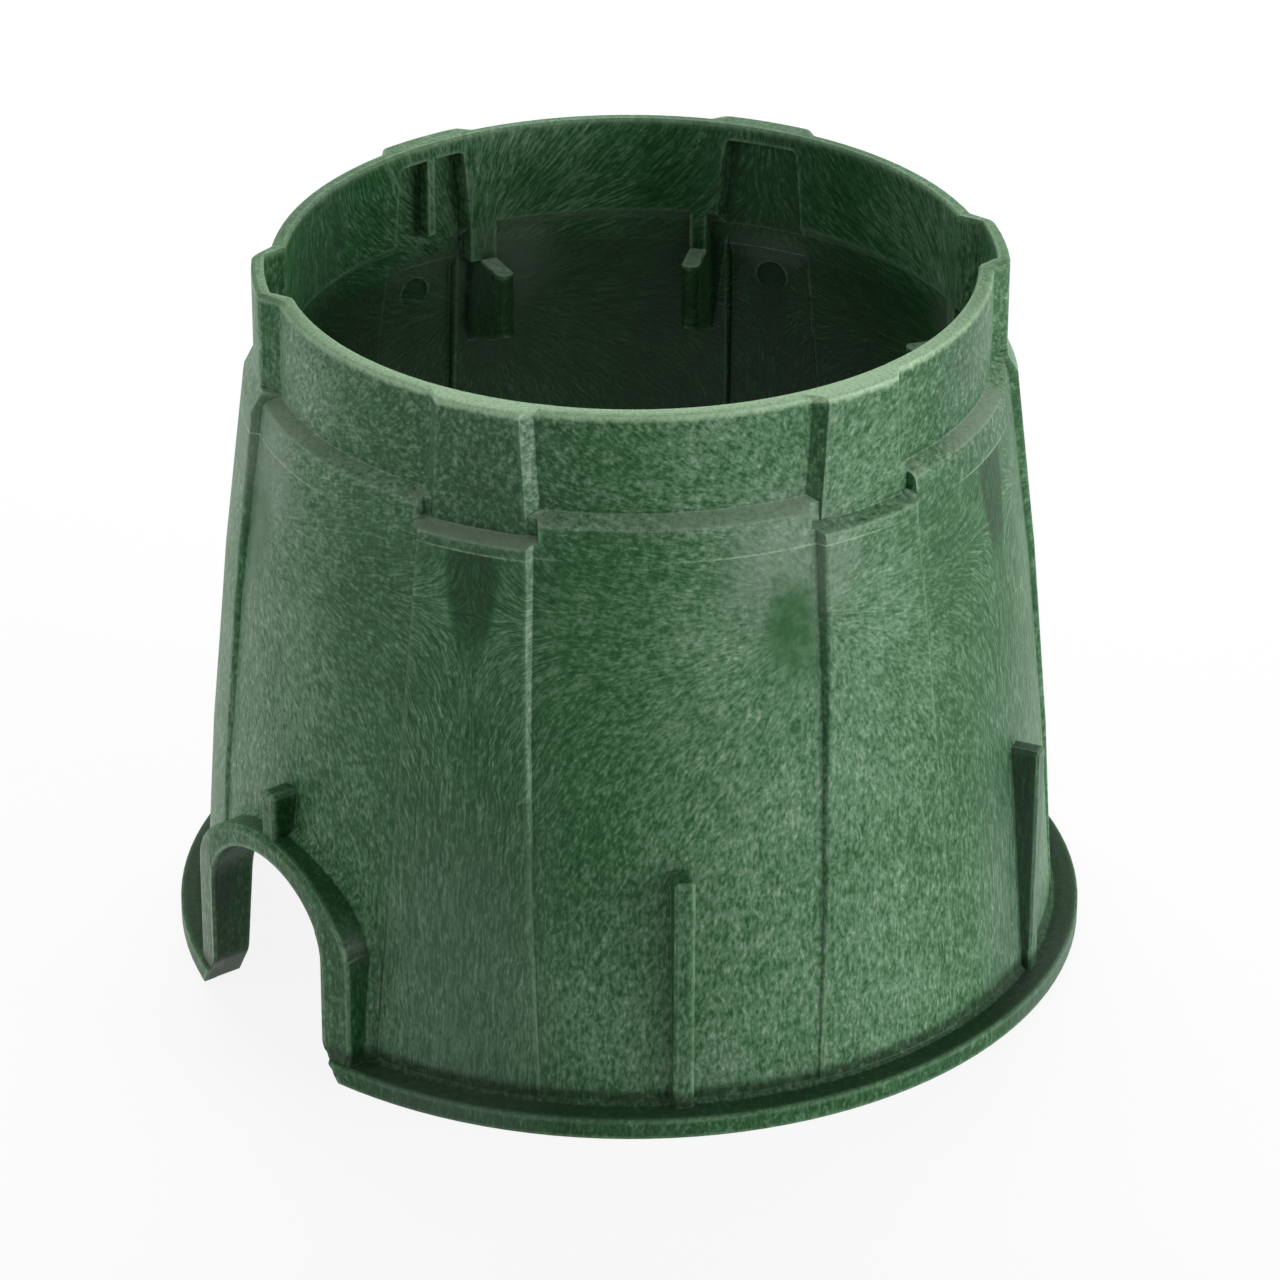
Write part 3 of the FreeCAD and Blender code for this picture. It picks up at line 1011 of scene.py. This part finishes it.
@dataclass(frozen=True)
class PaleFloor:
    """Plain white floor that keeps a faint shadow."""

    colour: Colour = (0.9, 0.9, 0.9)
    glow: float = 0.88

    def material(self) -> bpy.types.Material:
        """Makes the material.

        Returns:
            The finished material.
        """
        made = bpy.data.materials.new("pale_floor")
        made.use_nodes = True
        sheet = NodeSheet(made.node_tree)
        matt = sheet.add("ShaderNodeBsdfDiffuse")
        matt.inputs["Color"].default_value = (*self.colour, 1.0)
        light = sheet.add("ShaderNodeEmission")
        light.inputs["Strength"].default_value = 1.0
        mixed = sheet.add("ShaderNodeMixShader")
        share = sheet.seen(Ray.CAMERA, Ray.GLOSSY, Ray.TRANSMISSION)
        sheet.feed(mixed.inputs[0], sheet.math("MULTIPLY", share, self.glow))
        sheet.feed(mixed.inputs[1], matt.outputs[0])
        sheet.feed(mixed.inputs[2], light.outputs[0])
        out = sheet.add("ShaderNodeOutputMaterial")
        sheet.feed(out.inputs["Surface"], mixed.outputs[0])
        return made


@dataclass(frozen=True)
class BandCrests:
    """Side edges of the raised bands that run down the wall. Lengths are in metres."""

    angles: tuple[float, ...] = (30.0, 90.0, 150.0, 210.0, 270.0, 330.0)
    foot: float = 0.008
    top: float = 0.22
    half_foot: float = 0.0302
    half_top: float = 0.0204
    proud_foot: float = 0.0004
    proud_top: float = 0.0034
    inner_radius: float = 0.128
    strip: float = 0.0022
    level: float = 0.003
    flat: float = math.radians(3.0)
    crest_share: float = 0.5
    foot_share: float = 0.15
    ledge: float = 0.2116
    fade: float = 0.016
    least_fade: float = 0.15
    inset: float = -0.001
    nearness: float = 0.9
    hair: float = 1e-5
    snap: float = 2e-5
    border: float = 4e-5
    even: float = 0.49

    def side(self, angle: float, way: float) -> tuple[Vector, Vector]:
        """Gives the plane that runs along one crest.

        Args:
            angle: Where the band is, in degrees.
            way: 1 or -1 for the side of the band.

        Returns:
            A point of the plane and its normal, which looks away from the band.
        """
        turn = math.radians(angle)
        tangent = way * Vector((-math.sin(turn), math.cos(turn), 0.0))
        slope = (self.half_top - self.half_foot) / (self.top - self.foot)
        normal = (tangent - Vector((0.0, 0.0, slope))).normalized()
        return tangent * self.half_foot + Vector((0.0, 0.0, self.foot)), normal

    def proud(self, height: float) -> float:
        """Tells how far the bands stand out at a height."""
        return self.proud_foot + (self.proud_top - self.proud_foot) * (height - self.foot) / (self.top - self.foot)

    def beside(self, place: Vector, angle: float) -> bool:
        """Tells whether a place is on the outside of the wall, by the band at an angle."""
        near = math.cos(math.atan2(place.y, place.x) - math.radians(angle)) > self.nearness
        return near and math.hypot(place.x, place.y) > self.inner_radius and self.foot < place.z < self.top

    def tidy(self, work: bmesh.types.BMesh) -> None:
        """Recuts the faces beside each crest into even strips, so that the crest can be rounded evenly.

        Args:
            work: The merged mesh.
        """
        up = Vector((0.0, 0.0, 1.0))
        for angle in self.angles:
            for way in (-1.0, 1.0):
                point, normal = self.side(angle, way)
                faces = self.strip_faces(work.faces, angle, point, normal)
                for gap in (-self.strip, self.strip):
                    faces = self.cut(work, faces, point + normal * gap, normal)
                faces = self.strip_faces(faces, angle, point, normal)
                for k in range(1, int((self.top - self.foot) / self.level)):
                    faces = self.cut(work, faces, up * (self.foot + self.level * k), up)
                self.clear(work, faces, point, normal)

    def strip_faces(
        self, faces: Iterable[bmesh.types.BMFace], angle: float, point: Vector, normal: Vector
    ) -> list[bmesh.types.BMFace]:
        """Finds the faces beside one crest.

        Args:
            faces: The faces to look through.
            angle: Where the band is, in degrees.
            point: A point of the crest's plane.
            normal: The plane's normal.

        Returns:
            The faces that reach into the strip along the crest.
        """
        found: list[bmesh.types.BMFace] = []
        for face in faces:
            if self.beside(face.calc_center_median(), angle) and face.normal.xy.dot(face.verts[0].co.xy) > 0.0:
                gaps = [(vertex.co - point).dot(normal) for vertex in face.verts]
                if min(gaps) < self.strip - self.hair and max(gaps) > self.hair - self.strip:
                    found.append(face)
        return found

    def cut(
        self, work: bmesh.types.BMesh, faces: list[bmesh.types.BMFace], point: Vector, normal: Vector
    ) -> list[bmesh.types.BMFace]:
        """Cuts some faces along a plane.

        Args:
            work: The merged mesh.
            faces: The faces.
            point: A point of the plane.
            normal: The plane's normal.

        Returns:
            The faces after the cut.
        """
        edges = dict.fromkeys(edge for face in faces for edge in face.edges)
        vertices = dict.fromkeys(vertex for face in faces for vertex in face.verts)
        geometry = [*vertices, *edges, *faces]
        done = bmesh.ops.bisect_plane(work, geom=geometry, dist=self.snap, plane_co=point, plane_no=normal)
        return [item for item in done["geom"] if isinstance(item, bmesh.types.BMFace)]

    def clear(self, work: bmesh.types.BMesh, faces: list[bmesh.types.BMFace], point: Vector, normal: Vector) -> None:
        """Takes out the edges that cross a strip, but for its even cuts.

        Args:
            work: The merged mesh.
            faces: The faces of the strip.
            point: A point of the crest's plane.
            normal: The plane's normal.
        """
        inside = set(faces)
        loose: list[bmesh.types.BMEdge] = []
        for edge in dict.fromkeys(edge for face in faces for edge in face.edges):
            a, b = (vertex.co for vertex in edge.verts)
            off_middle = abs((a.z - self.foot) / self.level % 1.0 - 0.5)
            even = abs(a.z - b.z) < self.hair and off_middle > self.even
            border = all(abs(abs((end - point).dot(normal)) - self.strip) < self.border for end in (a, b))
            flat = edge.calc_face_angle(1.0) < self.flat
            if flat and not even and not border and inside.issuperset(edge.link_faces):
                loose.append(edge)
        bmesh.ops.dissolve_edges(work, edges=loose, use_verts=True, use_face_split=False)

    def rounding(self, edge: bmesh.types.BMEdge) -> float:
        """Tells how far an edge is rounded, which is less towards the foot, where the bands sink into the wall.

        Args:
            edge: An edge of the moulding.

        Returns:
            The rounding, or 0 for an edge that isn't at the side of a band.
        """
        middle = (edge.verts[0].co + edge.verts[1].co) / 2.0
        for angle in self.angles:
            if self.beside(middle, angle):
                for way in (-1.0, 1.0):
                    point, normal = self.side(angle, way)
                    if all(self.inset < (vertex.co - point).dot(normal) < self.strip for vertex in edge.verts):
                        share = self.crest_share if edge.is_convex else self.foot_share
                        fade = (self.ledge - max(vertex.co.z for vertex in edge.verts)) / self.fade
                        return self.proud(middle.z) * share * min(1.0, max(self.least_fade, fade))
        return 0.0


@dataclass
class BoxBody:
    """The moulded body of the box, which stands for its CAD node. Lengths are in metres."""

    node: str = "valve_box_body"
    slot: str = "green_foam_plastic"
    name: str = "valve_box_moulding"
    body: str = "root"
    merge: float = 0.0001
    slight: float = math.radians(34.5)
    square: float = math.radians(55.0)
    rounding: float = 0.0017
    square_share: float = 0.3
    slight_share: float = 0.18
    stretch: float = 0.006
    stray: float = 0.0006
    easing: float = 0.0015
    tries: int = 5
    segments: int = 3
    profile: float = 0.5
    normal_weight: int = 60
    overshoot: float = 1e-5
    flipped: float = -0.2
    least_area: float = 5e-8
    crests: BandCrests = BandCrests()
    finish: GreenPlastic = field(default_factory=GreenPlastic)

    def build(self, frame: dict) -> bpy.types.Object:
        """Copies the CAD mesh, merges it and rounds its edges.


        Returns:
            The piece.
        """
        mesh = frame["nodes"][self.node].data.copy()
        mesh.name = self.name
        for attribute in ("custom_normal", "sharp_edge", "sharp_face"):
            if attribute in mesh.attributes:
                mesh.attributes.remove(mesh.attributes[attribute])
        work = bmesh.new()
        work.from_mesh(mesh)
        bmesh.ops.remove_doubles(work, verts=work.verts, dist=self.merge)
        self.crests.tidy(work)
        self.divide_edges(work)
        self.mark_edges(work)
        for face in work.faces:
            face.smooth = True
        work.to_mesh(mesh)
        piece = bpy.data.objects.new(self.name, mesh)
        bpy.context.scene.collection.objects.link(piece)
        rounded = piece.modifiers.new("rounded_edges", "BEVEL")
        rounded.limit_method = "WEIGHT"
        rounded.width, rounded.segments, rounded.profile = self.rounding, self.segments, self.profile
        rounded.use_clamp_overlap = False
        rounded.material = -1
        self.ease_tight_corners(piece, work)
        work.free()
        normals = piece.modifiers.new("even_normals", "WEIGHTED_NORMAL")
        normals.keep_sharp = True
        normals.weight = self.normal_weight
        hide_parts(self.node)
        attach(piece, self.body)
        return piece

    def divide_edges(self, work: bmesh.types.BMesh) -> None:
        """Divides long crisp edges, so that one tight corner doesn't keep a whole edge from being rounded.

        Args:
            work: The merged mesh.
        """
        by_cuts: dict[int, list[bmesh.types.BMEdge]] = {}
        for edge in work.edges:
            cuts = int(edge.calc_length() / self.stretch)
            if cuts and edge.calc_face_angle(0.0) > self.slight:
                by_cuts.setdefault(cuts, []).append(edge)
        for cuts, edges in sorted(by_cuts.items()):
            bmesh.ops.subdivide_edges(work, edges=edges, cuts=cuts)

    def mark_edges(self, work: bmesh.types.BMesh) -> None:
        """Gives each crisp edge the share of the rounding that it takes.

        Args:
            work: The merged mesh.
        """
        layer = work.edges.layers.float.new("bevel_weight_edge")
        for edge in work.edges:
            turn = edge.calc_face_angle(0.0)
            if turn > self.slight:
                share = self.square_share if turn > self.square else self.slight_share
                edge[layer] = self.crests.rounding(edge) / self.rounding or share

    def ease_tight_corners(self, piece: bpy.types.Object, work: bmesh.types.BMesh) -> None:
        """Leaves an edge unrounded where its rounding would stray from the moulding.

        Args:
            piece: The piece with its rounding.
            work: The merged mesh that the piece was made from.
        """
        surface = BVHTree.FromBMesh(work)
        layer = work.edges.layers.float["bevel_weight_edge"]
        for attempt in range(1, self.tries + 1):
            strays = self.stray_points(piece, surface)
            LOG.info("%s: %d stray points", piece.name, len(strays))
            if not strays:
                return
            for edge in work.edges:
                if edge[layer] > 0.0:
                    a, b = (vertex.co for vertex in edge.verts)
                    for stray in strays:
                        nearest, share = intersect_point_line(stray, a, b)
                        nearest = a if share < 0.0 else b if share > 1.0 else nearest
                        if (nearest - stray).length < self.easing * attempt:
                            edge[layer] = 0.0
                            edge.smooth = False
                            break
            work.to_mesh(piece.data)

    def stray_points(self, piece: bpy.types.Object, surface: BVHTree) -> list[Vector]:
        """Finds where the rounded mesh leaves the moulding or rises past its rim.

        Args:
            piece: The piece with its rounding.
            surface: The moulding before its edges are rounded.

        Returns:
            Points on the moulding near each stray face.
        """
        bpy.context.view_layer.update()
        shape = piece.evaluated_get(bpy.context.evaluated_depsgraph_get()).data
        top = max(vertex.co.z for vertex in piece.data.vertices) + self.overshoot
        high = {vertex.index for vertex in shape.vertices if vertex.co.z > top}
        found: list[Vector] = []
        for face in shape.polygons:
            place, facing, _, gap = surface.find_nearest(face.center)
            flipped = facing.dot(face.normal) < self.flipped and face.area > self.least_area
            if gap > self.stray or flipped or not high.isdisjoint(face.vertices):
                found.append(place)
        return found

    def dress(self, piece: bpy.types.Object) -> None:
        """Gives the piece its finish.

        Args:
            piece: The piece that build() made.
        """
        piece.data.materials.clear()
        piece.data.materials.append(self.finish.material())


@dataclass(frozen=True)
class Bearing:
    """A direction from the middle of the box and a distance: to the right of the camera, and up."""

    right: float
    up: float
    distance: float
    camera_bearing: float = 233.1
    middle: float = 0.13

    def point(self) -> Vector:
        """Works out the point.

        Returns:
            The point in the row frame.
        """
        turn, rise = math.radians(self.right + self.camera_bearing), math.radians(self.up)
        flat = self.distance * math.cos(rise)
        return Vector((flat * math.cos(turn), flat * math.sin(turn), self.middle + self.distance * math.sin(rise)))


@dataclass
class Softbox:
    """One large soft lamp that faces the middle of the box."""

    name: str
    bearing: Bearing
    power: float
    width: float
    height: float

    def build(self) -> bpy.types.Object:
        """Makes the lamp.

        Returns:
            The lamp's object.
        """
        lamp = bpy.data.lights.new(self.name, "AREA")
        lamp.shape = "RECTANGLE"
        lamp.size, lamp.size_y, lamp.energy = self.width, self.height, self.power
        made = bpy.data.objects.new(self.name, lamp)
        place = self.bearing.point()
        made.location = place
        made.rotation_euler = (Vector((0.0, 0.0, self.bearing.middle)) - place).to_track_quat("-Z", "Y").to_euler()
        bpy.context.scene.collection.objects.link(made)
        return made


@dataclass
class Studio:
    """Floor, lamps, world and camera."""

    floor_half: float = 6.0
    ambient: float = 0.05
    lens: float = 167.82
    sensor: float = 36.0
    near: float = 0.05
    far: float = 50.0
    camera_place: tuple[float, float, float] = (-1.1421, -1.5211, 1.1284)
    camera_turn: float = -37.009
    camera_tilt: float = 61.78
    camera_roll: float = 0.20
    floor: PaleFloor = field(default_factory=PaleFloor)
    lamps: tuple[Softbox, ...] = (
        Softbox("right_low_softbox", Bearing(75.0, 8.0, 1.8), 26.0, 1.2, 0.8),
        Softbox("right_front_softbox", Bearing(35.0, 30.0, 1.8), 3.5, 1.0, 1.0),
        Softbox("left_front_softbox", Bearing(-35.0, 30.0, 1.8), 2.0, 1.0, 1.0),
        Softbox("left_low_softbox", Bearing(-75.0, 12.0, 1.8), 8.5, 1.2, 0.8),
        Softbox("back_softbox", Bearing(180.0, 35.0, 1.8), 36.0, 2.0, 0.8),
        Softbox("top_softbox", Bearing(180.0, 89.0, 1.8), 5.5, 1.2, 1.2),
    )

    def build(self) -> None:
        """Makes the floor, the lamps, the world and the camera."""
        work = bmesh.new()
        bmesh.ops.create_grid(work, x_segments=1, y_segments=1, size=self.floor_half)
        mesh = bpy.data.meshes.new("studio_floor")
        work.to_mesh(mesh)
        work.free()
        plane = bpy.data.objects.new("studio_floor", mesh)
        bpy.context.scene.collection.objects.link(plane)
        plane.data.materials.append(self.floor.material())
        for lamp in self.lamps:
            lamp.build()
        self.make_world()
        self.make_camera()

    def make_world(self) -> None:
        """Makes a world that is white to the eye and a plain soft light elsewhere."""
        world = bpy.data.worlds.new("studio_world")
        world.use_nodes = True
        sheet = NodeSheet(world.node_tree)
        plain, white = sheet.add("ShaderNodeBackground"), sheet.add("ShaderNodeBackground")
        for light, strength in ((plain, self.ambient), (white, 1.0)):
            light.inputs["Color"].default_value = (1.0, 1.0, 1.0, 1.0)
            light.inputs["Strength"].default_value = strength
        mixed = sheet.add("ShaderNodeMixShader")
        sheet.feed(mixed.inputs[0], sheet.seen(Ray.CAMERA, Ray.GLOSSY, Ray.TRANSMISSION))
        sheet.feed(mixed.inputs[1], plain.outputs[0])
        sheet.feed(mixed.inputs[2], white.outputs[0])
        out = sheet.add("ShaderNodeOutputWorld")
        sheet.feed(out.inputs["Surface"], mixed.outputs[0])
        bpy.context.scene.world = world

    def make_camera(self) -> None:
        """Makes the camera at the photograph's viewing angle."""
        data = bpy.data.cameras.new("camera")
        data.lens = self.lens
        data.sensor_width = self.sensor
        data.clip_start, data.clip_end = self.near, self.far
        camera = bpy.data.objects.new("camera", data)
        turn = Matrix.Rotation(math.radians(self.camera_turn), 4, "Z")
        tilt = Matrix.Rotation(math.radians(self.camera_tilt), 4, "X")
        roll = Matrix.Rotation(math.radians(self.camera_roll), 4, "Z")
        camera.matrix_world = Matrix.Translation(self.camera_place) @ turn @ tilt @ roll
        bpy.context.scene.collection.objects.link(camera)
        bpy.context.scene.camera = camera


def main() -> None:
    """Builds the piece and the studio around the CAD frame."""
    logging.basicConfig(level=logging.INFO, format="%(name)s: %(message)s")
    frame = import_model()
    box = BoxBody()
    piece = box.build(frame)
    box.dress(piece)
    LOG.info("%s: %d faces", piece.name, len(piece.data.polygons))
    Studio().build()
    bpy.context.scene.view_settings.view_transform = "Standard"


if __name__ == "__main__":
    main()
